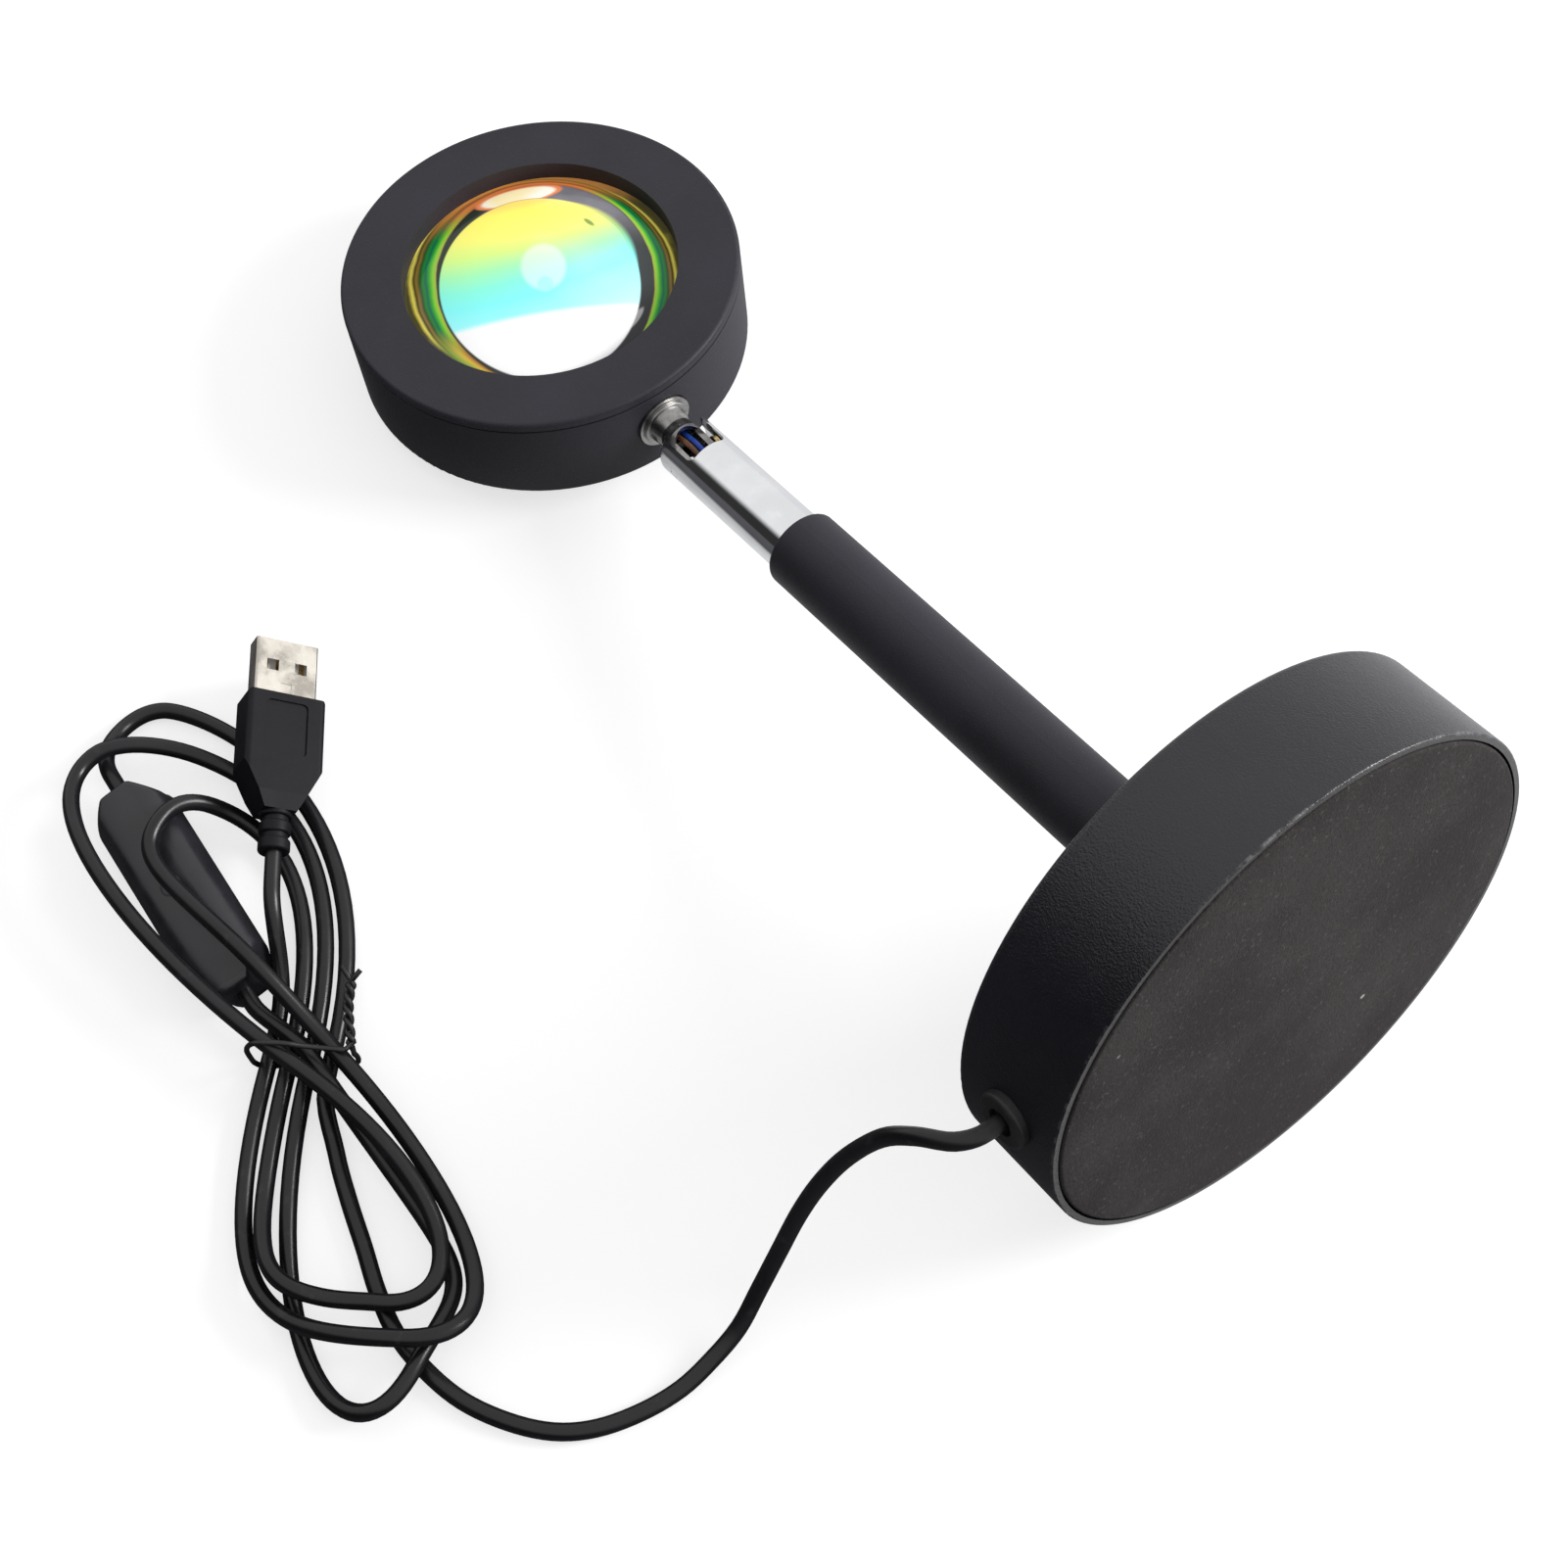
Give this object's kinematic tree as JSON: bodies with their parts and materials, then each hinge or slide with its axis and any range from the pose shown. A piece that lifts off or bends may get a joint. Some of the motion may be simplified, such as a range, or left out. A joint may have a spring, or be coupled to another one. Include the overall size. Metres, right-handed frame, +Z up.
{
  "type": "sunset projection lamp",
  "caption": "Desk projection lamp lying on its side: weighted disc base, slim pole, tilting hinge, round flat head with a large colour lens, and a USB cord with in-line switch.",
  "frame": {"origin": "on the table under the middle of the lamp as it lies, cord left out", "axes": "+Z up from the table the lamp lies on; +X from the head to the base; +Y away from the cord, across the lamp"},
  "size_m": [0.2592, 0.2072, 0.1021],
  "materials": {
    "powder_coat": "fine textured matt coat",
    "iron": "rough cast",
    "plain_steel": "zinc plated",
    "foam": "soft foam sheet",
    "rubber": "matt moulded rubber",
    "cord": "matt sheath",
    "brass": "turned",
    "chrome": "polished",
    "nickel": "satin nickel",
    "lens": "clear moulded optic",
    "filter": "colour-shifting coated disc",
    "white_plastic": "white moulded",
    "diode": "yellow silicone",
    "aluminium": "plain",
    "blue_wire": "extruded sheath",
    "brown_wire": "extruded sheath",
    "black_plastic": "fine satin moulded",
    "plug_metal": "bright nickel plated"
  },
  "bodies": {
    "base": {"base_shell": "powder_coat", "base_weight": "iron", "base_plate": "plain_steel", "base_screws": "plain_steel", "base_pad": "foam", "cable_grommet": "rubber", "inner_lead": "cord", "pole_nipple": "brass", "pole_nut": "plain_steel", "pole_washer": "plain_steel", "pole_foot": "plain_steel", "pole_tube": "powder_coat", "joint_sleeve": "chrome", "joint_pin": "chrome", "cord_run": "cord", "cord_hank_in": "cord", "cord_hank": "cord", "twist_tie": "black_plastic", "switch_back": "black_plastic", "switch_front": "black_plastic", "switch_contacts": "brass", "switch_screw": "plain_steel", "usb_shell": "plug_metal", "usb_tongue": "white_plastic", "usb_contacts": "brass", "usb_grip": "black_plastic"},
    "knuckle": {"joint_knuckle": "nickel", "joint_washers": "brass", "wire_blue": "blue_wire", "wire_brown": "brown_wire", "head_washer": "nickel", "lock_washer": "plain_steel", "stub_nut": "plain_steel"},
    "head": {"head_housing": "powder_coat", "head_bezel": "powder_coat", "lens": "lens", "colour_filter": "filter", "lens_gasket": "rubber", "lens_retainer": "plain_steel", "reflector": "white_plastic", "led_board": "white_plastic", "led": "diode", "heat_sink": "aluminium", "board_screws": "plain_steel", "head_screws": "plain_steel", "lead_blue": "blue_wire", "lead_brown": "brown_wire"},
    "rocker": {"switch_rocker": "black_plastic"}
  },
  "joints": [
    {"name": "head_tilt", "type": "hinge", "parent": "base", "child": "knuckle", "pos_m": [-0.03758, 0, 0.01879], "axis": [0, 1, 0], "range_deg": [-97.2, 82.8]},
    {"name": "head_swivel", "type": "hinge", "parent": "knuckle", "child": "head", "pos_m": [-0.03758, 0, 0.01879], "axis": [-0.9958, 0, -0.0919], "range_deg": [-170, 170]},
    {"name": "switch_rock", "type": "hinge", "parent": "base", "child": "rocker", "pos_m": [-0.02763, -0.12584, 0.00348], "axis": [0.064, 0.9638, 0.2588], "range_deg": [-14, 0]}
  ]
}
